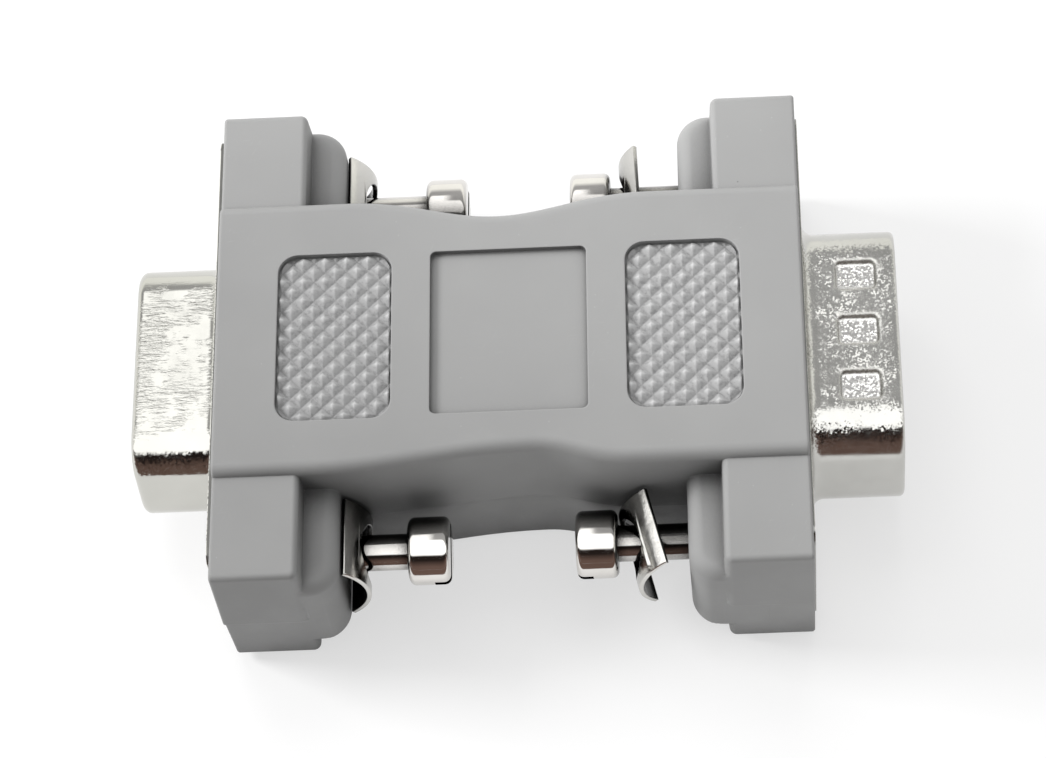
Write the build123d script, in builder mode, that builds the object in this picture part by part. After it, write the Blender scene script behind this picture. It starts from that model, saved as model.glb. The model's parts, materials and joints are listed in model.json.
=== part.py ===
"""Moulded adapter between a fifteen-way socket and a nine-way plug, with four captive thumbscrews.

X runs along the connector axis, the plug at +X. Y runs across the row of screws. Z is up.
The origin is the middle of the whole length and width, on the flat underside. Lengths are mm.
"""

import os
from math import asin, cos, degrees, radians, tan

from build123d import *

# Moulded body
body_length = 37.9
body_height = 14.0
ear_step = 0.6
ear_reach = 16.82
ear_depth = 5.88
hump_reach = 9.78
hump_draft = 1.5
draft_angle = 3.0
parting_inset = 0.3
top_round = 0.8
ear_round = 0.4
end_round = 0.2
end_edge = 3.0
inner_corner = 0.8

# Waist, front and back, measured along X from the middle of the body
front_waist_start = -13.0
front_waist_low = 1.6
front_waist_end = 7.8
front_waist_depth = 1.1
back_waist_start = -10.6
back_waist_low = -0.8
back_waist_end = 9.0
back_waist_depth = 1.4

# Screw bosses
boss_step = 2.0
boss_reach = 16.9
boss_height = 8.7
boss_corner = 2.0
boss_round = 1.0

# Label recess and grip pads
label_length = 10.12
label_width = 11.74
label_depth = 0.4
label_corner = 0.4
pad_length = 7.4
pad_width = 12.0
pad_corner = 1.3
pad_spacing = 22.52
pad_depth = 0.5
field_gap = 0.12
field_shift = -0.25
stud_pitch = 0.99
stud_height = 0.4

# Standard connector sizes
flange_length = 30.81
flange_height = 12.3
flange_corner = 1.0
hole_spacing = 24.99
flange_hole = 3.05
d_angle = 10.0
socket_width = 16.33
socket_height = 7.9
socket_corner = 2.59
plug_width = 16.92
plug_height = 8.36
plug_corner = 2.64
sheet = 0.4
plug_reach = 6.16
socket_reach = 5.8
bend_radius = 0.8
plug_rim_round = 0.36
socket_rim_round = 0.55
socket_lip = 0.75
overrun = 1.0

# Dimples pressed into the plug shell
dimple_length = 2.6
dimple_width = 2.0
dimple_depth = 0.36
dimple_pitch = 4.0
dimple_offset = 3.5
dimple_corner = 0.35
dimple_floor_round = 0.18
dimple_edge_round = 0.14

# Rear shells and insulators
plug_proud = 0.12
socket_proud = 0.22
rear_length = 30.3
rear_height = 11.6
skirt_width = 19.0
skirt_height = 10.6
skirt_corner = 3.6
skirt_depth = 5.2
rear_lip = 0.9
fit_gap = 0.06
front_block = 1.5
rear_block = 3.2
plug_floor = 1.3
shell_fit = 0.1

# Contacts
plug_pitch = 2.77
plug_row = 2.84
pin_size = 1.02
pin_setback = 0.7
pin_round = 0.4
socket_pitch = 2.29
socket_row = 1.98
barrel_size = 1.2
barrel_bore = 0.8
barrel_round = 0.1
mouth_depth = 0.8
barrel_depth = 5.0
collar_size = 1.6
collar_length = 0.7
tail_size = 1.1
tail_length = 2.4
cup_bore = 0.7
cup_depth = 1.6
contact_gap = 0.05

# Inner lining and wires
lining_width = 14.6
lining_height = 9.6
lining_corner = 1.6
lining_wall = 0.8
wire_size = 0.86
strand_size = 0.5
strand_length = 1.2
wire_lead = 1.4
detour_run = 3.6
detour_swing = 1.1

# Thumbscrews
head_size = 4.4
head_length = 2.7
head_round = 0.45
shank_size = 2.35
thread_size = 2.845
thread_point = 0.5
shank_clearance = 0.08
collar_wall = 1.6
bore_clearance = 0.2
thread_reach = 4.9
slot_width = 0.75
slot_depth = 1.05
drawn_out = 5.85
front_socket_head = 7.0
back_socket_head = 5.9
front_plug_head = 6.5
back_plug_head = 6.45

# Spring clips
clip_width = 5.3
clip_shift = 0.15
clip_height = 5.9
clip_bow = 1.3
clip_sheet = 0.32
clip_hole = 3.9
clip_float = 8.72
clip_rest_gap = 0.03
front_clip_tilt = 14.0
front_clip_turn = 8.5
back_clip_tilt = 2.0
back_clip_turn = -5.0

# Places along X and Z that follow from the sizes above
middle = (socket_reach - plug_reach) / 2
plug_end = middle + body_length / 2
socket_end = middle - body_length / 2
parting = body_height / 2
ear_height = body_height - 2 * ear_step
screw_y = hole_spacing / 2
plug_seat = plug_end + plug_proud - sheet
socket_seat = socket_end - socket_proud + sheet
boss_face = body_length / 2 - ear_depth - boss_step
shank_length = boss_face + collar_wall - drawn_out
blocks = front_block + rear_block

os.makedirs("parts", exist_ok=True)


def across(x, y=0.0):
    """Plane square to the connector axis at x, centred on y and the parting height."""
    return Plane(origin=(x, y, parting), x_dir=(0, 1, 0), z_dir=(1, 0, 0))


def d_outline(width, height, corner, less=0.0):
    """Draws the D outline, wide side down, made smaller all round by less."""
    small = corner - less
    wide = width / 2 - corner + small * (1 / cos(radians(d_angle)) + tan(radians(d_angle)))
    half = height / 2 - less
    narrow = wide - 2 * half * tan(radians(d_angle))
    Polygon((-wide, -half), (wide, -half), (narrow, half), (-narrow, half), align=None)
    fillet(vertices(), radius=small)


def waist(reach, start, low, end, depth):
    """Three points of one waist, the lowest in the middle."""
    return [
        (middle + start, reach),
        (middle + low, reach - depth if reach > 0 else reach + depth),
        (middle + end, reach),
    ]


def plug_place(number):
    """Y and height of a plug pin, counted from the +Y end of the lower row."""
    if number <= 5:
        return (3 - number) * plug_pitch, parting - plug_row / 2
    return (7.5 - number) * plug_pitch, parting + plug_row / 2


def socket_place(number):
    """Y and height of a socket contact, counted from the +Y end of the lowest row."""
    row, place = divmod(number - 1, 5)
    shift = -socket_pitch / 4 if row == 1 else socket_pitch / 4
    return (2 - place) * socket_pitch + shift, parting + (row - 1) * socket_row


def lengthwise(y, z):
    """Plane through the line along X at y and z, with X to the right and Z up."""
    return Plane(origin=(0, y, z), x_dir=(1, 0, 0), z_dir=(0, -1, 0))


def finish(builder, name):
    """Names the solid and writes it out."""
    builder.part.label = name
    export_step(builder.part, f"parts/{name}.step")


# Grip field, a diagonal lattice of small four-sided studs
groove_count = int((pad_length + pad_width) / stud_pitch) + 2
with BuildPart() as grip_field:
    with BuildSketch(Plane.XY):
        Rectangle(pad_length - 2 * field_gap, pad_width - 2 * field_gap)
        fillet(vertices(), radius=pad_corner - field_gap)
    extrude(amount=stud_height)
    for direction in (45, -45):
        side = Plane.XZ.rotated((0, 0, direction))
        with BuildSketch(side):
            with GridLocations(stud_pitch, 1, groove_count, 1):
                Polygon(
                    (-stud_pitch / 2, stud_height),
                    (0, 0),
                    (stud_pitch / 2, stud_height),
                    align=None,
                )
        extrude(amount=pad_width, both=True, mode=Mode.SUBTRACT)

# Moulded body, outer form
draft = tan(radians(draft_angle))
half_rise = body_height - parting
with BuildPart() as ears:
    for turn, inset in ((1, 0.0), (-1, parting_inset)):
        reach = ear_reach - inset + ear_height / 2 * draft
        base = Plane(origin=(0, 0, parting), x_dir=(1, 0, 0), z_dir=(0, 0, turn))
        with BuildSketch(base):
            with Locations(
                (plug_end - ear_depth / 2 + overrun / 2, 0),
                (socket_end + ear_depth / 2 - overrun / 2, 0),
            ):
                Rectangle(ear_depth + overrun, 2 * reach)
            corners = vertices().sort_by(lambda corner: abs(corner.X - middle))
            fillet(corners[:4], radius=inner_corner)
        extrude(amount=ear_height / 2, taper=draft_angle)
        top = ears.faces().sort_by(Axis.Z)[-2:] if turn == 1 else ears.faces().sort_by(Axis.Z)[:2]
        fillet(top.edges(), radius=ear_round)

with BuildPart() as bosses:
    with BuildSketch(Plane.XY.offset(parting)):
        boss_width = boss_reach - lining_width / 2 - lining_wall / 4
        boss_length = boss_step + ear_depth / 2
        across_x = boss_face + boss_length / 2
        across_y = boss_reach - boss_width / 2
        with Locations(
            (middle + across_x, across_y),
            (middle - across_x, across_y),
            (middle + across_x, -across_y),
            (middle - across_x, -across_y),
        ):
            Rectangle(boss_length, boss_width)
        outer = vertices().filter_by(lambda corner: abs(corner.Y) > across_y)
        fillet(outer.sort_by(lambda corner: abs(corner.X - middle))[:4], radius=boss_corner)
    extrude(amount=boss_height / 2, both=True)
    rims = bosses.edges().filter_by(lambda edge: abs(abs(edge.center().Z - parting) - boss_height / 2) < 0.01)
    fillet(rims, radius=boss_round)

with BuildPart() as body:
    for turn, inset in ((1, 0.0), (-1, parting_inset)):
        for rise, spread in ((0, half_rise * tan(radians(hump_draft)) - inset), (half_rise, -inset)):
            reach = hump_reach + spread
            front = waist(-reach, front_waist_start, front_waist_low, front_waist_end, front_waist_depth)
            back = waist(reach, back_waist_start, back_waist_low, back_waist_end, back_waist_depth)
            with BuildSketch(Plane.XY.offset(parting + turn * rise)):
                with BuildLine():
                    Line((socket_end, -reach), front[0])
                    Spline(*front, tangents=[(1, 0), (1, 0), (1, 0)])
                    Line(front[2], (plug_end, -reach))
                    Line((plug_end, -reach), (plug_end, reach))
                    Line((plug_end, reach), back[2])
                    Spline(*back[::-1], tangents=[(-1, 0), (-1, 0), (-1, 0)])
                    Line(back[0], (socket_end, reach))
                    Line((socket_end, reach), (socket_end, -reach))
                make_face()
        loft()
        outer_face = body.faces().sort_by(Axis.Z)[-1 if turn == 1 else 0]
        fillet(
            outer_face.edges().filter_by(lambda edge: edge.bounding_box().size.X > 1),
            radius=top_round,
        )
    add(ears.part)
    add(bosses.part)
    for end, way in ((plug_end, 1), (socket_end, -1)):
        with BuildSketch(across(end)):
            Rectangle(2 * body_length, 2 * body_length)
        extrude(amount=way * 2 * overrun, mode=Mode.SUBTRACT)
        end_face = body.faces().sort_by(Axis.X)[-1 if way == 1 else 0]
        fillet(end_face.edges().filter_by(lambda edge: edge.length > end_edge), radius=end_round)
    for turn in (1, -1):
        floor = parting + turn * half_rise
        deep = Plane(origin=(0, 0, floor), x_dir=(1, 0, 0), z_dir=(0, 0, turn))
        with BuildSketch(deep):
            with Locations((middle, turn * field_shift)):
                Rectangle(label_length, label_width)
            fillet(vertices(), radius=label_corner)
        extrude(amount=-label_depth, mode=Mode.SUBTRACT)
        with BuildSketch(deep):
            with Locations(
                (middle + pad_spacing / 2, turn * field_shift),
                (middle - pad_spacing / 2, turn * field_shift),
            ):
                Rectangle(pad_length, pad_width)
            fillet(vertices(), radius=pad_corner)
        extrude(amount=-pad_depth, mode=Mode.SUBTRACT)
        pad_floor = floor - turn * pad_depth
        flip = (90 - 90 * turn, 0, 0)
        with Locations(
            Location((middle + pad_spacing / 2, field_shift, pad_floor), flip),
            Location((middle - pad_spacing / 2, field_shift, pad_floor), flip),
        ):
            add(grip_field.part)

    # Seats for both pairs of flanges, each front flange standing a little proud
    for seat, way in ((plug_seat, 1), (socket_seat, -1)):
        with BuildSketch(across(seat)):
            Rectangle(flange_length, flange_height)
            fillet(vertices(), radius=flange_corner)
        extrude(amount=way * sheet, mode=Mode.SUBTRACT)
        with BuildSketch(across(seat)):
            Rectangle(rear_length, rear_height)
            fillet(vertices(), radius=flange_corner)
        extrude(amount=-way * sheet, mode=Mode.SUBTRACT)

    # Room for the rear shells and for the lining between them
    with BuildSketch(across(plug_seat)):
        d_outline(skirt_width, skirt_height, skirt_corner)
    extrude(amount=-skirt_depth, mode=Mode.SUBTRACT)
    with BuildSketch(across(socket_seat)):
        d_outline(skirt_width, skirt_height, skirt_corner)
    extrude(amount=skirt_depth, mode=Mode.SUBTRACT)
    with BuildSketch(across(socket_seat + skirt_depth)):
        Rectangle(lining_width, lining_height)
        fillet(vertices(), radius=lining_corner)
    extrude(amount=plug_seat - socket_seat - 2 * skirt_depth, mode=Mode.SUBTRACT)

    # Screw bores, narrow at the boss so that the thread is held captive
    with BuildSketch(across(socket_end)):
        with Locations((screw_y, 0), (-screw_y, 0)):
            Circle(shank_size / 2 + shank_clearance)
    extrude(amount=body_length, mode=Mode.SUBTRACT)
    for end, way in ((plug_end, 1), (socket_end, -1)):
        with BuildSketch(across(end)):
            with Locations((screw_y, 0), (-screw_y, 0)):
                Circle(thread_size / 2 + bore_clearance)
        extrude(amount=way * (boss_face + collar_wall - body_length / 2), mode=Mode.SUBTRACT)
finish(body, "body")

# Lining moulded between the two connectors, with the wires running through it
with BuildPart() as lining:
    with BuildSketch(across(socket_seat + skirt_depth)):
        Rectangle(lining_width, lining_height)
        fillet(vertices(), radius=lining_corner)
    extrude(amount=plug_seat - socket_seat - 2 * skirt_depth)
    with BuildSketch(across(socket_seat + skirt_depth)):
        Rectangle(lining_width - 2 * lining_wall, lining_height - 2 * lining_wall)
        fillet(vertices(), radius=lining_corner - lining_wall)
    extrude(amount=plug_seat - socket_seat - 2 * skirt_depth, mode=Mode.SUBTRACT)
finish(lining, "inner_lining")


def front_shell(seat, way, width, height, corner, reach, rim_round, lip):
    """Flange and drawn D shell in one sheet, turned in at the mouth by lip."""
    with BuildPart() as shell:
        with BuildSketch(across(seat)):
            Rectangle(flange_length, flange_height)
            fillet(vertices(), radius=flange_corner)
            with Locations((screw_y, 0), (-screw_y, 0)):
                Circle(flange_hole / 2, mode=Mode.SUBTRACT)
        extrude(amount=way * sheet)
        with BuildSketch(across(seat)):
            d_outline(width, height, corner)
        extrude(amount=way * reach)
        foot = shell.edges().filter_by(
            lambda edge: abs(edge.center().X - seat - way * sheet) < 0.01
            and abs(edge.center().Y) < hole_spacing / 2 - flange_hole
            and abs(edge.center().Z - parting) < height / 2 + sheet
        )
        fillet(foot, radius=bend_radius)
        mouth = shell.faces().sort_by(Axis.X)[-1 if way == 1 else 0]
        fillet(mouth.edges(), radius=rim_round)
        with BuildSketch(across(seat)):
            d_outline(width, height, corner, sheet)
        extrude(amount=way * (reach - sheet), mode=Mode.SUBTRACT)
        with BuildSketch(across(seat)):
            d_outline(width, height, corner, lip)
        extrude(amount=way * reach, mode=Mode.SUBTRACT)
        throat = shell.edges().filter_by(
            lambda edge: abs(edge.center().X - seat) < 0.01
            and abs(edge.center().Y) < hole_spacing / 2 - flange_hole
            and abs(edge.center().Z - parting) < height / 2
        )
        fillet(throat, radius=bend_radius + sheet)
    return shell


socket_front = front_shell(
    socket_seat, -1, socket_width, socket_height, socket_corner,
    socket_seat - socket_end + socket_reach, socket_rim_round, socket_lip)
finish(socket_front, "socket_front_shell")

plug_outer_width = plug_width + 2 * sheet
plug_outer_height = plug_height + 2 * sheet
plug_outer_corner = plug_corner + sheet
plug_front = front_shell(
    plug_seat, 1, plug_outer_width, plug_outer_height, plug_outer_corner,
    plug_end - plug_seat + plug_reach, plug_rim_round, sheet)

# Contact dimples, pressed in on both long sides of the plug shell
with BuildPart() as plug_shell:
    add(plug_front.part)
    for turn in (1, -1):
        for depth, mode in ((sheet, Mode.ADD), (0, Mode.SUBTRACT)):
            side = Plane(
                origin=(plug_end + dimple_offset, 0, parting + turn * (plug_outer_height / 2 - depth)),
                x_dir=(1, 0, 0),
                z_dir=(0, 0, -turn),
            )
            with BuildSketch(side):
                with GridLocations(1, dimple_pitch, 1, 3):
                    Rectangle(dimple_length + depth, dimple_width + depth)
                fillet(vertices(), radius=dimple_corner)
            extrude(amount=dimple_depth, mode=mode)
        floors = plug_shell.edges().filter_by(
            lambda edge: abs(turn * (edge.center().Z - parting) - plug_outer_height / 2 + dimple_depth) < 0.01
            and abs(edge.center().X - plug_end - dimple_offset) < dimple_length
        )
        fillet(floors, radius=dimple_floor_round)
        edges = plug_shell.edges().filter_by(
            lambda edge: abs(turn * (edge.center().Z - parting) - plug_outer_height / 2) < 0.01
            and abs(edge.center().X - plug_end - dimple_offset) <= dimple_length / 2
            and edge.length < dimple_length
        )
        fillet(edges, radius=dimple_edge_round)
finish(plug_shell, "plug_front_shell")


def rear_shell(seat, way):
    """Rear flange with a closed skirt that clasps both insulator halves."""
    with BuildPart() as shell:
        with BuildSketch(across(seat)):
            Rectangle(rear_length, rear_height)
            fillet(vertices(), radius=flange_corner)
            with Locations((screw_y, 0), (-screw_y, 0)):
                Circle(thread_size / 2 + bore_clearance, mode=Mode.SUBTRACT)
        extrude(amount=-way * sheet)
        with BuildSketch(across(seat)):
            d_outline(skirt_width, skirt_height, skirt_corner)
        extrude(amount=-way * skirt_depth)
        with BuildSketch(across(seat)):
            d_outline(skirt_width, skirt_height, skirt_corner, sheet)
        extrude(amount=-way * (skirt_depth - sheet), mode=Mode.SUBTRACT)
        with BuildSketch(across(seat)):
            d_outline(skirt_width, skirt_height, skirt_corner, sheet + rear_lip)
        extrude(amount=-way * skirt_depth, mode=Mode.SUBTRACT)
    return shell


finish(rear_shell(socket_seat, -1), "socket_rear_shell")
finish(rear_shell(plug_seat, 1), "plug_rear_shell")

plug_places = [plug_place(number) for number in range(1, 10)]
socket_places = [socket_place(number) for number in range(1, 16)]


def holes(places, size):
    """Draws one round hole for each contact place."""
    with Locations(*[(y, z - parting) for y, z in places]):
        Circle(size / 2)


# Insulator halves of the plug
with BuildPart() as plug_front_insulator:
    with BuildSketch(across(plug_seat)):
        d_outline(skirt_width, skirt_height, skirt_corner, sheet + fit_gap)
    extrude(amount=-front_block)
    with BuildSketch(across(plug_seat)):
        d_outline(plug_width, plug_height, plug_corner, shell_fit)
    extrude(amount=plug_floor)
    with BuildSketch(across(plug_seat - front_block)):
        holes(plug_places, pin_size + 2 * contact_gap)
    extrude(amount=front_block + plug_floor, mode=Mode.SUBTRACT)
finish(plug_front_insulator, "plug_front_insulator")

# Insulator halves of the socket
socket_nose = socket_seat - socket_end + socket_reach - sheet - fit_gap
with BuildPart() as socket_front_insulator:
    with BuildSketch(across(socket_seat)):
        d_outline(skirt_width, skirt_height, skirt_corner, sheet + fit_gap)
    extrude(amount=front_block)
    with BuildSketch(across(socket_seat)):
        d_outline(socket_width, socket_height, socket_corner, sheet + shell_fit)
    extrude(amount=-socket_nose)
    with BuildSketch(across(socket_seat + front_block)):
        holes(socket_places, barrel_size + 2 * contact_gap)
    extrude(amount=mouth_depth - socket_nose - front_block, mode=Mode.SUBTRACT)
    with BuildSketch(across(socket_seat)):
        holes(socket_places, barrel_bore + 2 * contact_gap)
    extrude(amount=-socket_nose, mode=Mode.SUBTRACT)
finish(socket_front_insulator, "socket_front_insulator")


def rear_insulator(seat, way, places):
    """Rear insulator half, counterbored for the contact collars."""
    with BuildPart() as block:
        with BuildSketch(across(seat - way * front_block)):
            d_outline(skirt_width, skirt_height, skirt_corner, sheet + fit_gap)
        extrude(amount=-way * rear_block)
        with BuildSketch(across(seat - way * front_block)):
            holes(places, collar_size + 2 * contact_gap)
        extrude(amount=-way * (collar_length + contact_gap), mode=Mode.SUBTRACT)
        with BuildSketch(across(seat - way * front_block)):
            holes(places, tail_size + 2 * contact_gap)
        extrude(amount=-way * rear_block, mode=Mode.SUBTRACT)
    return block


finish(rear_insulator(plug_seat, 1, plug_places), "plug_rear_insulator")
finish(rear_insulator(socket_seat, -1, socket_places), "socket_rear_insulator")


def contact(seat, way, place, size, tip, tip_round, bore, bore_depth):
    """Turned contact with a collar held between the insulator halves and a wire cup."""
    collar = seat - way * front_block
    neck = collar - way * collar_length
    tail = seat - way * (blocks + tail_length)
    line = lengthwise(*place)
    spin = Axis((0, *place), (1, 0, 0))
    with BuildPart() as turned:
        with BuildSketch(line):
            Polygon(
                (tip, 0), (tip, size / 2), (collar, size / 2), (collar, collar_size / 2),
                (neck, collar_size / 2), (neck, tail_size / 2), (tail, tail_size / 2), (tail, 0),
                align=None,
            )
            tip_corner = vertices().filter_by(lambda corner: abs(corner.X - tip) < 0.01).sort_by(Axis.Y)[-1]
            fillet(tip_corner, radius=tip_round)
        revolve(axis=spin)
        with BuildSketch(across(tail, place[0])):
            with Locations((0, place[1] - parting)):
                Circle(cup_bore / 2)
        extrude(amount=way * cup_depth, mode=Mode.SUBTRACT)
        if bore:
            with BuildSketch(across(tip, place[0])):
                with Locations((0, place[1] - parting)):
                    Circle(bore / 2)
            extrude(amount=-way * bore_depth, mode=Mode.SUBTRACT)
    return turned


for number, place in enumerate(plug_places, 1):
    tip = plug_end + plug_reach - pin_setback
    turned = contact(plug_seat, 1, place, pin_size, tip, pin_round, 0, 0)
    finish(turned, f"plug_pin_{number}")

for number, place in enumerate(socket_places, 1):
    tip = socket_seat - socket_nose + mouth_depth + contact_gap
    turned = contact(socket_seat, -1, place, barrel_size, tip, barrel_round, barrel_bore, barrel_depth)
    finish(turned, f"socket_contact_{number}")


def wire(start, middle_points, finish_place):
    """One jacketed wire with bared strands that reach into the cups at both ends."""
    left = socket_seat + blocks + tail_length + contact_gap
    right = plug_seat - blocks - tail_length - contact_gap
    with BuildPart() as cable:
        with BuildLine():
            Spline(
                (left, *start), (left + wire_lead, *start), *middle_points,
                (right - wire_lead, *finish_place), (right, *finish_place),
            )
        with BuildSketch(across(left, start[0])):
            with Locations((0, start[1] - parting)):
                Circle(wire_size / 2)
        sweep()
        for end, way, place in ((left, -1, start), (right, 1, finish_place)):
            with BuildSketch(across(end, place[0])):
                with Locations((0, place[1] - parting)):
                    Circle(strand_size / 2)
            extrude(amount=way * strand_length)
    return cable


# Wires, each from a socket contact to its plug pin, two of them led over and between the rest
links = {1: 1, 2: 2, 3: 3, 6: 6, 7: 7, 8: 8, 10: 9, 13: 4, 14: 5}
near_socket = middle - detour_run
near_plug = middle + detour_run
detours = {
    13: [
        (near_socket, -plug_pitch / 2, parting + socket_row + wire_size),
        (near_plug, -plug_pitch, parting + wire_size),
    ],
    14: [
        (near_socket, -plug_pitch, parting),
        (near_plug, detour_swing - 2 * plug_pitch, parting - plug_row),
    ],
}
for order, (start, stop) in enumerate(links.items(), 1):
    cable = wire(socket_places[start - 1], detours.get(start, []), plug_places[stop - 1])
    finish(cable, f"wire_{order}")


def thumbscrew(name, way, y, head_face, angle):
    """Captive thumbscrew with a slotted head toward the middle of the body."""
    start = middle + way * head_face
    line = lengthwise(y, parting)
    top = head_size / 2
    with BuildPart() as screw:
        with BuildSketch(line):
            Polygon(
                (start - way * head_length, 0),
                (start - way * head_length, top),
                (start, top),
                (start, shank_size / 2),
                (start + way * shank_length, shank_size / 2),
                (start + way * shank_length, thread_size / 2),
                (start + way * (shank_length + thread_reach - thread_point), thread_size / 2),
                (start + way * (shank_length + thread_reach), thread_size / 2 - thread_point),
                (start + way * (shank_length + thread_reach), 0),
                align=None,
            )
            shoulders = vertices().sort_by(Axis.Y)[-2:]
            fillet(shoulders, radius=head_round)
        revolve(axis=Axis((0, y, parting), (1, 0, 0)))
        with BuildSketch(across(start - way * head_length, y)):
            Rectangle(2 * head_size, slot_width, rotation=angle)
        extrude(amount=way * slot_depth, mode=Mode.SUBTRACT)
    finish(screw, name)


thumbscrew("thumbscrew_socket_front", -1, -screw_y, front_socket_head, 27)
thumbscrew("thumbscrew_socket_back", -1, screw_y, back_socket_head, 70)
thumbscrew("thumbscrew_plug_front", 1, -screw_y, front_plug_head, 30)
thumbscrew("thumbscrew_plug_back", 1, screw_y, back_plug_head, 100)


def spring_clip(name, way, y, chord, tilt, turn):
    """Bowed square spring washer on the screw shank, bulging toward the head."""
    origin = (middle + way * chord, y + clip_shift * y / screw_y, parting)
    side = Plane(origin=origin, x_dir=(-way, 0, 0), z_dir=(0, 1, 0)).rotated((0, turn, tilt))
    radius = (clip_height**2 / 4 + clip_bow**2) / (2 * clip_bow)
    half = degrees(asin(clip_height / 2 / radius))
    with BuildPart() as clip:
        with BuildSketch(side):
            with BuildLine():
                near = CenterArc((clip_bow - radius, 0), radius, -half, 2 * half)
                far = CenterArc((clip_bow - radius, 0), radius + clip_sheet, -half, 2 * half)
                Line(near @ 0, far @ 0)
                Line(near @ 1, far @ 1)
            make_face()
        extrude(amount=clip_width / 2, both=True)
        with BuildSketch(Plane(origin=origin, x_dir=side.z_dir, z_dir=side.x_dir)):
            Circle(clip_hole / 2)
        extrude(amount=2 * clip_bow, mode=Mode.SUBTRACT)
    finish(clip, name)


rest = boss_face - clip_rest_gap
spring_clip("spring_clip_socket_front", -1, -screw_y, rest, 0, 0)
spring_clip("spring_clip_socket_back", -1, screw_y, rest, 0, 0)
spring_clip("spring_clip_plug_front", 1, -screw_y, clip_float, front_clip_tilt, front_clip_turn)
spring_clip("spring_clip_plug_back", 1, screw_y, clip_float, back_clip_tilt, back_clip_turn)
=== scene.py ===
import json
import math

import bmesh
import bpy
from mathutils import Matrix, Vector

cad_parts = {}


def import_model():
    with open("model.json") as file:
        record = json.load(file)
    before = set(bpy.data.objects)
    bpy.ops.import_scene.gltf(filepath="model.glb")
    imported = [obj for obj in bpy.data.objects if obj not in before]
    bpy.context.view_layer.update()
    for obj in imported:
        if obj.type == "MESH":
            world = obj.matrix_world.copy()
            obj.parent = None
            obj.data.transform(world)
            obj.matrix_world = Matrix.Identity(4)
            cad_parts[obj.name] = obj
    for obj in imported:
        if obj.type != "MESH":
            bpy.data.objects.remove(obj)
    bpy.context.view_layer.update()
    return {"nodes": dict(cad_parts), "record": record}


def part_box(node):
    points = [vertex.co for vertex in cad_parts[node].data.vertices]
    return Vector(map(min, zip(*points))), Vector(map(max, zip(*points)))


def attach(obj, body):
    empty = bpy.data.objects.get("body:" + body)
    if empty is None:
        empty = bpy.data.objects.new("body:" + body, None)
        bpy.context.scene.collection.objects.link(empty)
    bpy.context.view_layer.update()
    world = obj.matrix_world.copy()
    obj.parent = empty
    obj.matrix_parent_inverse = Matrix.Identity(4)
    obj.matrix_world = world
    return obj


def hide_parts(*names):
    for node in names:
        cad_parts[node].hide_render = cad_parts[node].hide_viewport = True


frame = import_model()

MM = 0.001

# Camera, solved from the photograph
PHOTO_WIDTH, PHOTO_HEIGHT = 1046, 758
FOCAL_PIXELS = 3558.5
CENTRE_X, CENTRE_Y = 621.3, 395.5
SENSOR_WIDTH = 36.0
RIGHT = Vector((0.9984968, -0.0181910, -0.0517024))
DOWN = Vector((-0.0394198, -0.8937484, -0.4468332))
FORWARD = Vector((-0.0380806, 0.4481996, -0.8931220))
SHIFT_BACK = Vector((-7.2538958, -4.5099706, 228.3653405))

# Places on the moulded body, in mm
BODY_MIDDLE, BODY_TOP = -0.18, 14.0
PARTING = BODY_TOP / 2
PAD_SPACING = 22.52
PAD_LENGTH, PAD_WIDTH = 7.4, 12.0
PAD_SHIFT = -0.25
PAD_DEPTH = 0.5
STUD_HEIGHT = 0.4
EAR_FACE, EAR_DRAFT = 16.86, math.tan(math.radians(3))
EAR_STEP = 0.08
SLACK, LEVEL, WELD = 0.01, 0.001, 0.0005

# Places on the front shells, in mm
RIM_DEPTH = 0.36
PLUG_TOP = 11.58
DIMPLES_REACH = 5.0
SUNK_FROM, SUNK_FULL, SUNK_END = 0.28, 0.38, 0.68

# Thumbscrews, in mm
HEAD_RADIUS, HEAD_LENGTH, HEAD_ROUND = 2.2, 2.7, 0.45
SHANK_RADIUS, SHANK_LENGTH = 1.175, 6.82
NECK, NECK_HOLLOW = 0.12, 0.03
THREAD_START = HEAD_LENGTH + SHANK_LENGTH
THREAD_RADIUS, THREAD_LENGTH, THREAD_POINT = 1.4225, 4.9, 0.5
THREAD_PITCH, THREAD_DEPTH = 0.635, 0.33
THREAD_STEEPNESS, THREAD_FLAT = 1.35, 0.1
ROOT_BELOW_SHANK = 0.1
SLOT_WIDTH, SLOT_DEPTH = 0.75, 1.05

# Facets of the thumbscrews
SCREW_SIDES = 96
ROUND_STEPS = 7
STATIONS_PER_PITCH = 12
FACE_RINGS = 0.2, 0.6

# Turn of each slot from level, in degrees
SLOT_TURNS = {"socket_front": 12, "socket_back": -6, "plug_front": 12, "plug_back": -3}

# Angles between facets, in degrees
SMOOTH_BELOW = 48
SCREW_SMOOTH_BELOW = 40
CLIP_BREAKS_FROM = 60

# Width of the broken edges of the clips, in mm
CLIP_BREAK = 0.06

# Greys of the moulded plastic
BLACK = 0.0
PLASTIC_DARK, PLASTIC_LIGHT = (0.322, 0.322, 0.320), (0.350, 0.350, 0.347)
# The edge grey is partly wear and partly a painted highlight on the edges.
EDGE_WEAR_AND_HIGHLIGHT_GREY, DOT_GREY, MARK_GREY, LINE_GREY = 0.48, 0.50, 0.08, 0.46
# The tip grey is a painted highlight on the tips of the studs.
PAD_LEFT, PAD_RIGHT, PAD_GRIME, TIP_HIGHLIGHT_GREY = 0.42, 0.44, 0.33, 0.82

# Parts of a noise between which a tint or a roughness runs
WIDE = 0.30, 0.70
NARROW = 0.35, 0.65

# Parts of a random value between which dots, hairlines and their patches start and are full
CHOSEN_DOTS = 0.55, 0.60
CHOSEN_LINES = 0.70, 0.76
LINE_PATCHES = 0.52, 0.62

# Parts of a dot's radius at which it starts and is full
DOT_STARTS, DOT_FULL = 1.3, 0.7

# Cosine between the rounded and the plain normal where an edge starts to show and shows in full
EDGE_SHOWS, EDGE_FULL = 0.985, 0.90

# Noise size that leaves stretched coordinates as they are, in mm
UNSCALED = 1000
SHADE_SAMPLES = 6


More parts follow.
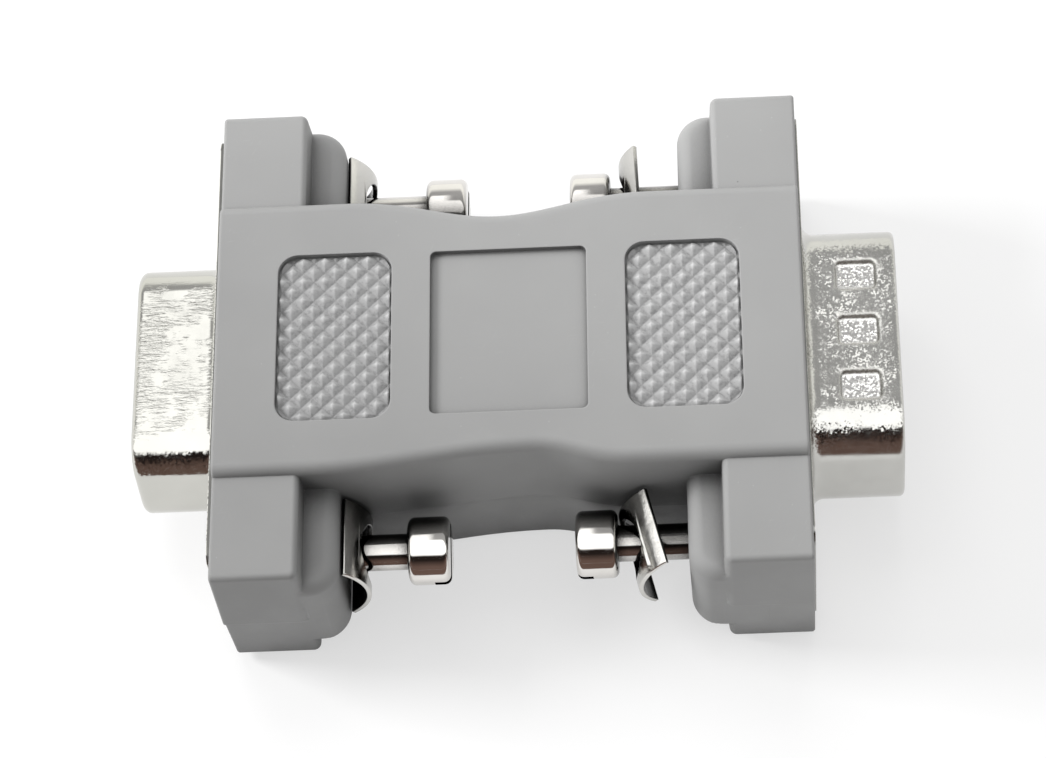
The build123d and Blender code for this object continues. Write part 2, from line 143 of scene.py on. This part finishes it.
def camera():
    """Camera at the photograph's angle, off its centre as the photograph is cropped."""
    data = bpy.data.cameras.new("camera")
    data.sensor_width = SENSOR_WIDTH
    data.lens = FOCAL_PIXELS * SENSOR_WIDTH / PHOTO_WIDTH
    data.shift_x = (PHOTO_WIDTH / 2 - CENTRE_X) / PHOTO_WIDTH
    data.shift_y = (CENTRE_Y - PHOTO_HEIGHT / 2) / PHOTO_WIDTH
    data.clip_start, data.clip_end = 0.01, 10.0
    eye = bpy.data.objects.new("camera", data)
    bpy.context.scene.collection.objects.link(eye)
    spot = -(RIGHT * SHIFT_BACK.x + DOWN * SHIFT_BACK.y + FORWARD * SHIFT_BACK.z)
    spot = (spot + Vector((BODY_MIDDLE, 0, BODY_TOP))) * MM
    turn = Matrix((RIGHT, -DOWN, -FORWARD)).transposed()
    eye.matrix_world = Matrix.Translation(spot) @ turn.to_4x4()
    bpy.context.scene.camera = eye


camera()
bpy.context.scene.view_settings.view_transform = "Standard"


class Graph:
    """Lays out a node tree. A source is a node and the name or number of one of its outputs."""

    def __init__(self, tree):
        self.tree = tree
        tree.nodes.clear()

    def add(self, kind, **values):
        node = self.tree.nodes.new(kind)
        for key, value in values.items():
            setattr(node, key, value)
        return node

    def put(self, value, node, socket):
        """Links a source into a socket, or sets a number, a vector or a colour on it."""
        into = node.inputs[socket]
        if isinstance(value, tuple) and hasattr(value[0], "outputs"):
            self.tree.links.new(value[0].outputs[value[1]], into)
        elif into.type == "RGBA":
            into.default_value = (*value, 1) if isinstance(value, tuple) else (value, value, value, 1)
        else:
            into.default_value = value

    def math(self, operation, *values):
        node = self.add("ShaderNodeMath", operation=operation)
        for index, value in enumerate(values):
            self.put(value, node, index)
        return node, 0

    def both(self, first, second):
        """Product of two masks, or of a mask and a strength."""
        return self.math("MULTIPLY", first, second)

    def vector(self, operation, *values, scale=None, result="Vector"):
        node = self.add("ShaderNodeVectorMath", operation=operation)
        for index, value in enumerate(values):
            self.put(value, node, index)
        if scale:
            self.put(scale, node, "Scale")
        return node, result

    def range(self, source, start, end, low=0.0, high=1.0, smooth=True):
        """Runs from low at the start to high at the end, and stays level beyond them."""
        kind = "SMOOTHSTEP" if smooth else "LINEAR"
        node = self.add("ShaderNodeMapRange", interpolation_type=kind)
        for index, value in enumerate((source, start, end, low, high)):
            self.put(value, node, index)
        return node, 0

    def ramp(self, source, stops):
        node = self.add("ShaderNodeValToRGB")
        elements = node.color_ramp.elements
        while len(elements) < len(stops):
            elements.new(0.5)
        for element, (place, value) in zip(elements, stops):
            element.position = place
            element.color = (*value, 1)
        self.put(source, node, "Fac")
        return node, "Color"

    def mix(self, a, b, factor):
        node = self.add("ShaderNodeMix", data_type="RGBA", blend_type="MIX")
        for index, value in ((0, factor), (6, a), (7, b)):
            self.put(value, node, index)
        return node, 2

    def split(self, source):
        node = self.add("ShaderNodeSeparateXYZ")
        self.put(source, node, 0)
        return [(node, index) for index in range(3)]


class Finish(Graph):
    """One material of the object, laid out in the object's own coordinates."""

    def __init__(self, name, **values):
        self.material = bpy.data.materials.new(name)
        self.material.use_nodes = True
        super().__init__(self.material.node_tree)
        self.surface = self.add("ShaderNodeBsdfPrincipled")
        output = self.add("ShaderNodeOutputMaterial")
        self.put((self.surface, "BSDF"), output, "Surface")
        self.where = self.add("ShaderNodeTexCoord"), "Object"
        for key, value in values.items():
            self.put(value, self.surface, key.replace("_", " "))

    def give(self, socket, source):
        self.put(source, self.surface, socket)

    def stretched(self, scale, turn=0.0):
        """Coordinates stretched by a length in mm along each axis, after a turn about Z in degrees."""
        node = self.add("ShaderNodeMapping", vector_type="TEXTURE")
        node.inputs["Rotation"].default_value = (0, 0, math.radians(turn))
        node.inputs["Scale"].default_value = tuple(length * MM for length in scale)
        self.put(self.where, node, "Vector")
        return node, "Vector"

    def noise(self, size, detail=3.0, rough=0.6, where=None):
        """Soft noise with features of about the size given in mm."""
        node = self.add("ShaderNodeTexNoise")
        for socket, value in (("Scale", 1 / (size * MM)), ("Detail", detail), ("Roughness", rough)):
            node.inputs[socket].default_value = value
        self.put(where or self.where, node, "Vector")
        return node, 0

    def cells(self, size):
        """Distance from the middle of each random cell, and a random colour for each."""
        node = self.add("ShaderNodeTexVoronoi", feature="F1")
        node.inputs["Scale"].default_value = 1 / (size * MM)
        self.put(self.where, node, "Vector")
        return (node, "Distance"), (node, "Color")

    def tints(self, source, low, high):
        """Soft change between two tints."""
        return self.ramp(source, [(WIDE[0], low), (WIDE[1], high)])

    def bump(self, *layers, start=None):
        """Each layer is a source, a strength and a height in mm."""
        normal = start
        for source, strength, height in layers:
            node = self.add("ShaderNodeBump")
            self.put(strength, node, "Strength")
            self.put(height * MM, node, "Distance")
            self.put(source, node, "Height")
            if normal:
                self.put(normal, node, "Normal")
            normal = (node, "Normal")
        self.give("Normal", normal)
        return self.material


def dents(s, size, gap):
    """Scattered round dots of the given radius, one in some of the cells."""
    distance, colour = s.cells(gap)
    radius = size / gap
    dot = s.range(distance, DOT_STARTS * radius, DOT_FULL * radius)
    chosen = s.range(s.split(colour)[0], *CHOSEN_DOTS)
    return s.both(dot, chosen)


def hairlines(s, turn, length, width):
    """Short fine scratches along one direction, in patches."""
    along = s.stretched((length, width, width), turn)
    lines = s.noise(UNSCALED, 1.0, 0.4, along)
    patches = s.range(s.noise(6.0, 2.0), *LINE_PATCHES)
    return s.both(s.range(lines, *CHOSEN_LINES), patches)


def rounded_normal(s, radius):
    """Normal rounded off over the edges within a radius in mm."""
    rounded = s.add("ShaderNodeBevel", samples=SHADE_SAMPLES)
    s.put(radius * MM, rounded, "Radius")
    return rounded, "Normal"


def edge_mask(s, rounded, strength):
    """Mask of the places where the rounded normal departs from the plain one."""
    plain = s.add("ShaderNodeNewGeometry"), "True Normal"
    facing = s.vector("DOT_PRODUCT", rounded, plain, result="Value")
    return s.range(facing, EDGE_SHOWS, EDGE_FULL, 0.0, strength)


def corners(s, reach, darkest, open_from, tight_below=0.25):
    """Factor that falls from 1 in the open to its darkest in tight corners, as painted shade put into the
    colour from ambient occlusion.
    """
    shade = s.add("ShaderNodeAmbientOcclusion", samples=SHADE_SAMPLES)
    s.put(reach * MM, shade, "Distance")
    return s.range((shade, "AO"), tight_below, open_from, darkest, 1.0)


def pushed(s, normal, push):
    """The normal pushed aside by a vector."""
    return s.vector("NORMALIZE", s.vector("ADD", normal, push))


def grains(s, normal, size, amount):
    """Tilts the normal a random way in each small cell, so that single grains flash."""
    away = s.vector("SUBTRACT", s.cells(size)[1], (0.5, 0.5, 0.5))
    return pushed(s, normal, s.vector("SCALE", away, scale=amount))


def levelled(s, normal, upright):
    """Turns a normal part of the way to upright, as light spread inside the plastic would."""
    axis = s.add("ShaderNodeCombineXYZ")
    s.put(upright, axis, "Z")
    return pushed(s, normal, (axis, "Vector"))


def pad_tone(s, x, z):
    """Grey of the grip pads, with the tips of the studs painted pale here and there, a painted highlight."""
    pad_floor = PARTING - PAD_DEPTH
    tip_from = pad_floor + 0.45 * STUD_HEIGHT
    rise = s.math("ABSOLUTE", s.math("SUBTRACT", z, PARTING * MM))
    # Painted highlight: the tips of the studs are made paler in patches, standing in for glints of light.
    tips = s.range(rise, tip_from * MM, (pad_floor + STUD_HEIGHT) * MM)
    tip_glints = s.both(s.range(s.noise(1.1), *WIDE, 0.45, 1.0), 0.8)
    ground = s.range(x, -1 * MM, 1 * MM, PAD_LEFT, PAD_RIGHT)
    ground = s.mix(ground, PAD_GRIME, s.range(s.noise(0.30, 2.0), 0.45, 0.70))
    return s.mix(ground, TIP_HIGHLIGHT_GREY, s.both(tips, tip_glints))


def body_plastic(name, studded):
    """Semi-matt grey moulding, with painted shade in its corners and a painted falloff of light that darkens
    it towards its near left corner.
    """
    s = Finish(name, Specular_IOR_Level=0.35)
    broad, grain = s.noise(14.0), s.noise(0.16, 2.0)
    x, y, z = s.split(s.where)
    edge_radius, darkest_painted_shade = (0.40, 0.60) if studded else (0.14, 0.20)
    normal = rounded_normal(s, edge_radius)
    if studded:
        tone = pad_tone(s, x, z)
        outward = s.math("SIGN", s.math("SUBTRACT", z, PARTING * MM))
        normal = levelled(s, normal, s.both(outward, 2.6))
    else:
        tone = s.tints(broad, PLASTIC_DARK, PLASTIC_LIGHT)
        # Edges painted paler: partly wear, partly a painted highlight where the rounded edges would catch the
        # light.
        tone = s.mix(tone, EDGE_WEAR_AND_HIGHLIGHT_GREY, edge_mask(s, normal, 0.45))
    dots, marks = dents(s, 0.035, 0.8), dents(s, 0.07, 5.5)
    lines = s.math("ADD", hairlines(s, 8, 1.6, 0.05), hairlines(s, 62, 1.1, 0.045))
    for mask, grey, strength in ((dots, DOT_GREY, 0.6), (marks, MARK_GREY, 0.6), (lines, LINE_GREY, 0.35)):
        tone = s.mix(tone, grey, s.both(mask, strength))
    # Painted shade: the colour is darkened in corners, creases and recesses found by ambient occlusion.
    tone = s.mix(BLACK, tone, corners(s, 6.0, darkest_painted_shade, 0.90))
    # Painted shade: a falloff of light, darkening the colour towards the near left corner.
    painted_falloff = s.range(s.math("MULTIPLY_ADD", x, 0.8, y), -30 * MM, 26 * MM, 0.27, 0.0)
    s.give("Base Color", s.mix(tone, BLACK, painted_falloff))
    s.give("Roughness", s.range(s.noise(4.0, 4.0), *WIDE, 0.46, 0.60))
    return s.bump((broad, 0.25, 0.05), (grain, 0.3, 0.012), (dots, 0.6, 0.01), start=normal)


def flange(s, node):
    """Mask of the flat flange at the back of a front shell."""
    low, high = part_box(node)
    x = s.split(s.where)[0]
    if low[0] < 0:
        return s.math("GREATER_THAN", x, high[0] - RIM_DEPTH * MM)
    return s.math("LESS_THAN", x, low[0] + RIM_DEPTH * MM)


def bright_shell():
    """Bright nickel plate, burnished across its flat faces and grainy along its near edge."""
    s = Finish("bright shell", Metallic=1.0)
    plate = s.tints(s.noise(7.0), (0.535, 0.53, 0.495), (0.595, 0.59, 0.555))
    shaded_flange = flange(s, "socket_front_shell")
    # Painted shade: the flange at the back of the shell gets a dark tint, standing in for the shadow in the
    # gap by the body.
    s.give("Base Color", s.mix(plate, (0.20, 0.20, 0.19), shaded_flange))
    polish = s.range(s.noise(1.6, 4.0), *NARROW, 0.08, 0.16)
    s.give("Roughness", s.math("MULTIPLY_ADD", shaded_flange, 0.4, polish))
    ripples = s.noise(UNSCALED, 3.0, 0.65, s.stretched((1.0, 0.26, 0.5)))
    y, z = s.split(s.where)[1:]
    flat = s.range(s.math("ABSOLUTE", y), 6.4 * MM, 5.4 * MM)
    marks = s.both(flat, s.range(s.noise(2.0), 0.36, 0.58))
    near_edge = s.both(s.range(y, -6.0 * MM, -7.2 * MM), s.range(z, 9.2 * MM, 9.8 * MM))
    near_edge = s.both(near_edge, s.math("SUBTRACT", 1.0, shaded_flange))
    plain = s.add("ShaderNodeNewGeometry"), "Normal"
    grainy = grains(s, plain, 0.15, s.both(near_edge, 0.20))
    return s.bump((s.noise(9.0, 2.0), 0.4, 0.12), (ripples, marks, 0.060), start=grainy)


def dimple_floors(s, off_middle, z):
    """Mask of the floors of the dimples in the top of the plug shell."""
    sunk = s.range(z, (PLUG_TOP - SUNK_FROM) * MM, (PLUG_TOP - SUNK_FULL) * MM)
    within = s.math("LESS_THAN", off_middle, DIMPLES_REACH * MM)
    near_top = s.math("GREATER_THAN", z, (PLUG_TOP - SUNK_END) * MM)
    return s.both(s.both(sunk, within), near_top)


def satin_shell():
    """Satin plate with a fine glittering mottle, stronger on the floors of the dimples."""
    s = Finish("satin shell", Metallic=1.0)
    plate = s.tints(s.noise(5.0), (0.53, 0.525, 0.50), (0.59, 0.585, 0.56))
    y, z = s.split(s.where)[1:]
    off_middle = s.math("ABSOLUTE", y)
    sunk = dimple_floors(s, off_middle, z)
    shaded_flange = flange(s, "plug_front_shell")
    tint = s.mix(plate, (0.80, 0.79, 0.77), sunk)
    # Painted shade: the flange gets a dark tint, standing in for the shadow in the gap by the body.
    tint = s.mix(tint, (0.30, 0.30, 0.29), shaded_flange)
    # Painted shade: the colour is darkened in tight corners, where the shell meets the body.
    s.give("Base Color", s.mix(BLACK, tint, corners(s, 0.6, 0.60, 0.85)))
    s.give("Roughness", s.range(s.noise(0.9, 4.0), *NARROW, 0.12, 0.20))
    top_face = s.both(s.range(y, 7.2 * MM, 6.2 * MM), s.range(z, 9.8 * MM, 10.3 * MM))
    by_dimples = s.range(off_middle, 8.5 * MM, 4.5 * MM, 0.6, 1.0)
    mottle = s.both(top_face, s.range(s.noise(1.6), 0.36, 0.62, 0.25, 1.0))
    mottle = s.math("MAXIMUM", s.both(mottle, by_dimples), sunk)
    mottle = s.both(mottle, s.math("SUBTRACT", 1.0, shaded_flange))
    grainy = grains(s, rounded_normal(s, 0.34), 0.12, s.both(mottle, 0.36))
    return s.bump((s.noise(6.0, 2.0), 0.3, 0.10), (s.noise(0.3, 2.0), mottle, 0.03), start=grainy)


def plated(name, low, high, smooth, rough, mottle=0.0):
    """Plated metal between two tints, with painted shade darkening it in its corners, and roughness from
    smooth to rough.
    """
    s = Finish(name, Metallic=1.0)
    tint = s.tints(s.noise(3.0), low, high)
    # Painted shade and painted reflection: the colour is darkened almost to black in corners found by ambient
    # occlusion, standing in for the dark body mirrored near the screws.
    s.give("Base Color", s.mix(BLACK, tint, corners(s, 8.0, 0.05, 0.88, 0.42)))
    s.give("Roughness", s.range(s.noise(1.2, 4.0), *NARROW, smooth, rough))
    return s.bump((s.noise(2.5, 2.0), 0.3, 0.04), (s.noise(0.3, 3.0, 0.7), 1.0, mottle))


def moulded(name, low, high, rough):
    """Plain moulded plastic between two tints."""
    s = Finish(name)
    s.give("Base Color", s.tints(s.noise(5.0), low, high))
    s.give("Roughness", s.range(s.noise(1.4), *WIDE, rough - 0.06, rough + 0.08))
    return s.bump((s.noise(0.33, 2.0), 0.2, 0.02))


LOOKS = {
    "body_grey": body_plastic("body plastic", False),
    "lining": moulded("lining plastic", (0.66, 0.65, 0.60), (0.74, 0.73, 0.68), 0.45),
    "shell_bright": bright_shell(),
    "shell_satin": satin_shell(),
    "rear_shell": plated("rear shell", (0.56, 0.55, 0.52), (0.62, 0.61, 0.58), 0.3, 0.42),
    "insulator": moulded("insulator plastic", (0.022, 0.022, 0.024), (0.032, 0.032, 0.035), 0.4),
    "contact_gold": plated("contact plating", (0.80, 0.60, 0.28), (0.86, 0.66, 0.33), 0.16, 0.28),
    "wire_jacket": moulded("wire jacket", (0.58, 0.57, 0.54), (0.66, 0.65, 0.62), 0.5),
    "screw_nickel": plated("screw plating", (0.70, 0.68, 0.65), (0.76, 0.74, 0.71), 0.06, 0.12),
    "spring_steel": plated("spring steel", (0.62, 0.61, 0.58), (0.70, 0.69, 0.66), 0.12, 0.24, 0.008),
}
STUDS = body_plastic("grip pad plastic", True)

slots = {part["node"]: part["material_slot"] for part in frame["record"]["subparts"]}
for node, thing in frame["nodes"].items():
    thing.data.materials.clear()
    thing.data.materials.append(LOOKS[slots[node]])

bodies = {node: body for body, nodes in frame["record"]["behaviour"]["bodies"].items() for node in nodes}


def piece(name, mesh, node):
    """Shows a mesh in place of a CAD node, on the same body and with the same finish."""
    thing = bpy.data.objects.new(name, mesh)
    bpy.context.scene.collection.objects.link(thing)
    if not mesh.materials:
        mesh.materials.append(LOOKS[slots[node]])
    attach(thing, bodies[node])
    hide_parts(node)
    return thing


def even_normals(thing):
    """Shades large faces flat and lets the small ones beside them bend."""
    weigh = thing.modifiers.new("even normals", "WEIGHTED_NORMAL")
    weigh.keep_sharp = True


def smooth_copy(name, node):
    """The same shape as the node, with its facets joined and shaded as one smooth surface."""
    mesh = frame["nodes"][node].data.copy()
    work = bmesh.new()
    work.from_mesh(mesh)
    bmesh.ops.remove_doubles(work, verts=work.verts, dist=WELD * MM)
    work.to_mesh(mesh)
    work.free()
    if "custom_normal" in mesh.attributes:
        mesh.attributes.remove(mesh.attributes["custom_normal"])
    mesh.shade_smooth()
    mesh.set_sharp_from_angle(angle=math.radians(SMOOTH_BELOW))
    thing = piece(name, mesh, node)
    even_normals(thing)
    return thing


def draw_back_ears(mesh):
    """Brings the small step below the parting line back to the drafted face of the ears."""
    for vertex in mesh.vertices:
        y, z = (vertex.co / MM).yz
        drafted = EAR_FACE - (PARTING - z) * EAR_DRAFT
        if z < PARTING + LEVEL and drafted < abs(y) < EAR_FACE + EAR_STEP:
            vertex.co.y = math.copysign(drafted * MM, y)


def moulding():
    """The body, with the grip pads as a finish of their own."""
    mesh = smooth_copy("moulding", "body").data
    draw_back_ears(mesh)
    mesh.materials.append(STUDS)
    for face in mesh.polygons:
        x, y, z = face.center / MM
        from_pad_middle = abs(abs(x - BODY_MIDDLE) - PAD_SPACING / 2)
        inside = from_pad_middle < PAD_LENGTH / 2 and abs(y - PAD_SHIFT) < PAD_WIDTH / 2
        depth = PARTING - abs(z - PARTING)
        if inside and SLACK < depth < PAD_DEPTH + SLACK:
            face.material_index = 1


moulding()
smooth_copy("socket_shell", "socket_front_shell")
smooth_copy("plug_shell", "plug_front_shell")
for number in range(1, 10):
    smooth_copy(f"pin_{number}", f"plug_pin_{number}")


def clip(name, node):
    """Spring clip with slightly broken edges that catch the light."""
    thing = smooth_copy(name, node)
    edges = thing.modifiers.new("broken edges", "BEVEL")
    edges.width = CLIP_BREAK * MM
    edges.segments = 2
    edges.limit_method = "ANGLE"
    edges.angle_limit = math.radians(CLIP_BREAKS_FROM)
    edges.use_clamp_overlap = True
    thing.modifiers.move(1, 0)


def thread_radius(along, turn):
    """Radius of the rolled thread at a distance along the screw and an angle round it."""
    end = THREAD_START + THREAD_LENGTH
    wave = abs(2 * ((along / THREAD_PITCH + turn / math.tau) % 1) - 1)
    depth = THREAD_DEPTH * (1 - min(1, max(0, THREAD_STEEPNESS * wave - THREAD_FLAT)))
    run_in = SHANK_RADIUS + (along - THREAD_START)
    run_out = THREAD_RADIUS - THREAD_POINT + (end - along)
    crest = min(THREAD_RADIUS, run_in, run_out)
    return min(crest, max(THREAD_RADIUS - depth, SHANK_RADIUS - ROOT_BELOW_SHANK))


def screw_outline():
    """Stations from the head's face to the tip, each a distance along and a radius, or None on the thread."""
    steps = [math.radians(90 * step / ROUND_STEPS) for step in range(ROUND_STEPS + 1)]
    core = HEAD_RADIUS - HEAD_ROUND
    back = HEAD_LENGTH - HEAD_ROUND
    outline = [(0, share * core) for share in FACE_RINGS]
    outline += [(HEAD_ROUND * (1 - math.cos(a)), core + HEAD_ROUND * math.sin(a)) for a in steps]
    outline += [(back + HEAD_ROUND * math.sin(a), core + HEAD_ROUND * math.cos(a)) for a in steps]
    outline += [(HEAD_LENGTH, SHANK_RADIUS + NECK)]
    outline += [(HEAD_LENGTH + NECK_HOLLOW, SHANK_RADIUS + NECK_HOLLOW)]
    outline += [(HEAD_LENGTH + NECK, SHANK_RADIUS), (THREAD_START, SHANK_RADIUS)]
    count = round(THREAD_LENGTH / THREAD_PITCH * STATIONS_PER_PITCH)
    outline += [(THREAD_START + THREAD_LENGTH * step / count, None) for step in range(1, count + 1)]
    return outline


def slot_cutter(name, face, y, z, turn):
    """Box across the head's face, turned about the screw's axis."""
    bpy.ops.mesh.primitive_cube_add(size=1)
    cutter = bpy.context.object
    cutter.name = name
    place = Matrix.Translation((face, y, z)) @ Matrix.Rotation(math.radians(turn), 4, "X")
    size = Matrix.Diagonal((2 * SLOT_DEPTH * MM, 3 * HEAD_RADIUS * MM, SLOT_WIDTH * MM, 1))
    cutter.matrix_world = place @ size
    return cutter


def turned_mesh(name, face, way, y, z):
    """The screw's outline turned about its axis, from the head's face towards the tip."""
    work = bmesh.new()
    rings = []
    for along, radius in screw_outline():
        ring = []
        for side in range(SCREW_SIDES):
            angle = math.tau * side / SCREW_SIDES
            reach = (thread_radius(along, angle) if radius is None else radius) * MM
            spot = (face + way * along * MM, y + reach * math.cos(angle), z + reach * math.sin(angle))
            ring.append(work.verts.new(spot))
        rings.append(ring)
    for near, far in zip(rings, rings[1:]):
        for side in range(SCREW_SIDES):
            after = (side + 1) % SCREW_SIDES
            work.faces.new((near[side], near[after], far[after], far[side]))
    work.faces.new(rings[0])
    work.faces.new(rings[-1])
    bmesh.ops.recalc_face_normals(work, faces=work.faces)
    mesh = bpy.data.meshes.new(name)
    work.to_mesh(mesh)
    work.free()
    return mesh


def cut_slot(thing, cutter):
    """Takes the cutter out of the head for good."""
    cut = thing.modifiers.new("slot", "BOOLEAN")
    cut.object = cutter
    cut.solver = "EXACT"
    bpy.context.view_layer.update()
    ready = bpy.data.meshes.new_from_object(thing.evaluated_get(bpy.context.evaluated_depsgraph_get()))
    thing.modifiers.clear()
    thing.data = ready
    bpy.data.objects.remove(cutter)


def thumbscrew(name, node, turn):
    """Screw with a rounded slotted head, its thread rolled as a helix."""
    low, high = (Vector(corner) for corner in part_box(node))
    y, z = (low.y + high.y) / 2, (low.z + high.z) / 2
    way = 1 if abs(low.x - BODY_MIDDLE * MM) < abs(high.x - BODY_MIDDLE * MM) else -1
    face = low.x if way == 1 else high.x
    thing = piece(name, turned_mesh(name, face, way, y, z), node)
    cut_slot(thing, slot_cutter(name + "_slot", face, y, z, turn))
    thing.data.shade_smooth()
    thing.data.set_sharp_from_angle(angle=math.radians(SCREW_SMOOTH_BELOW))
    even_normals(thing)


for corner, turn in SLOT_TURNS.items():
    thumbscrew(f"screw_{corner}", f"thumbscrew_{corner}", turn)
    clip(f"clip_{corner}", f"spring_clip_{corner}")


# Floor and the card before it, in metres
FLOOR_SIZE = 3.0
FLOOR_HEIGHT = -0.02 * MM
FLOOR_GREY = (0.88, 0.88, 0.88)
FLOOR_GLOW = 0.60
CARD_SIZE = 1.0
CARD_PLACE = (0, -0.532, 0.1 * MM)

# Colours of the room that the metal mirrors
WHITE = (1.0, 1.0, 1.0)
DARK_HIGH = (0.022, 0.016, 0.014)
DARK_LOW = (0.165, 0.107, 0.088)
CEILING = (0.50, 0.50, 0.50)
PANEL = (1.85, 1.85, 1.85)
WALL = (1.25, 1.25, 1.20)

# Start of the bright panel behind upright, in degrees
LEFT_PANEL, RIGHT_PANEL = -31, -10

# Place across the room where its left side gives way to its right one
SIDES_MEET = -0.10, -0.03

# Brightness of the sky low in front and high behind, and the lean over which it changes
SKY_LOW, SKY_HIGH = 0.27, 0.74
LEAN_FROM, LEAN_TO = -0.5, 0.95
LEAN_X, LEAN_Y, LEAN_Z = 0.12, 0.45, 0.8


def shown_white(graph):
    """Factor of the rays that see the surroundings as plain white, straight or in a mirror."""
    path = graph.add("ShaderNodeLightPath")
    seen = graph.math("ADD", (path, "Is Camera Ray"), (path, "Is Glossy Ray"))
    return graph.math("ADD", seen, (path, "Is Transmission Ray"))


def stage_plane(name, size, place):
    """Flat square of the surroundings, with a new material laid out by a graph."""
    bpy.ops.mesh.primitive_plane_add(size=size, location=place)
    plane = bpy.context.object
    plane.name = name
    material = bpy.data.materials.new(name)
    material.use_nodes = True
    plane.data.materials.append(material)
    return plane, Graph(material.node_tree)


def floor():
    """Plain white floor that shows two fifths of its shadow."""
    plane, graph = stage_plane("floor", FLOOR_SIZE, (0, 0, FLOOR_HEIGHT))
    paper = graph.add("ShaderNodeBsdfDiffuse")
    glow = graph.add("ShaderNodeEmission")
    blend = graph.add("ShaderNodeMixShader")
    output = graph.add("ShaderNodeOutputMaterial")
    graph.put(FLOOR_GREY, paper, "Color")
    graph.put(WHITE, glow, "Color")
    graph.put(graph.both(shown_white(graph), FLOOR_GLOW), blend, 0)
    graph.put((paper, "BSDF"), blend, 1)
    graph.put((glow, "Emission"), blend, 2)
    graph.put((blend, "Shader"), output, "Surface")


def dark_card():
    """Dark glowing card on the floor in front, seen only in the metal, a painted reflection of a dark front.
    """
    card, graph = stage_plane("dark_card", CARD_SIZE, CARD_PLACE)
    glow = graph.add("ShaderNodeEmission")
    output = graph.add("ShaderNodeOutputMaterial")
    graph.put(DARK_LOW, glow, "Color")
    graph.put((glow, "Emission"), output, "Surface")
    card.visible_camera = False
    card.visible_diffuse = False
    card.visible_shadow = False
    card.visible_transmission = False


def room_ramp(graph, turn, panel_from):
    """Colours met by turning from the back wall over the ceiling to the front, in degrees from upright."""
    stops = [
        (-92, WALL), (-64, WALL), (-48, CEILING), (panel_from - 4, CEILING), (panel_from, PANEL),
        (36, PANEL), (42, DARK_HIGH), (56, DARK_HIGH), (80, DARK_LOW), (92, DARK_LOW),
    ]
    return graph.ramp(turn, [(0.5 + angle / 360, colour) for angle, colour in stops])


def world():
    """Soft sky for the light, and a room with a bright panel and a dark front for the metal."""
    sky = bpy.data.worlds.new("studio")
    bpy.context.scene.world = sky
    sky.use_nodes = True
    sky.cycles.sampling_method = "NONE"
    graph = Graph(sky.node_tree)
    x, y, z = graph.split((graph.add("ShaderNodeTexCoord"), "Generated"))
    angle = graph.math("ARCTAN2", graph.math("MULTIPLY", y, -1.0), z)
    turn = graph.math("MULTIPLY_ADD", angle, 1 / math.tau, 0.5)
    left, right = room_ramp(graph, turn, LEFT_PANEL), room_ramp(graph, turn, RIGHT_PANEL)
    room = graph.mix(left, right, graph.range(x, *SIDES_MEET))
    lean = graph.math("MULTIPLY_ADD", y, LEAN_Y, graph.math("MULTIPLY", z, LEAN_Z))
    lean = graph.math("MULTIPLY_ADD", x, LEAN_X, lean)
    bright = graph.range(lean, LEAN_FROM, LEAN_TO, SKY_LOW, SKY_HIGH, smooth=False)
    soft = graph.mix(BLACK, WHITE, bright)
    path = graph.add("ShaderNodeLightPath")
    light = graph.mix(soft, room, (path, "Is Glossy Ray"))
    light = graph.mix(light, WHITE, (path, "Is Camera Ray"))
    back = graph.add("ShaderNodeBackground")
    output = graph.add("ShaderNodeOutputWorld")
    graph.put(light, back, "Color")
    graph.put((back, "Background"), output, "Surface")


def lamp(name, place, size, power):
    """Square lamp aimed at the middle of the object, not mirrored in the metal."""
    data = bpy.data.lights.new(name, "AREA")
    data.energy = power
    data.size = size
    thing = bpy.data.objects.new(name, data)
    bpy.context.scene.collection.objects.link(thing)
    thing.location = place
    thing.rotation_mode = "QUATERNION"
    aim = Vector((0, 0, PARTING * MM)) - Vector(place)
    thing.rotation_quaternion = aim.to_track_quat("-Z", "Y")
    thing.visible_glossy = False


floor()
dark_card()
world()
lamp("key", place=(-0.03, 0.18, 0.29), size=0.22, power=0.42)
lamp("side", place=(-0.30, 0.06, 0.22), size=0.12, power=1.25)
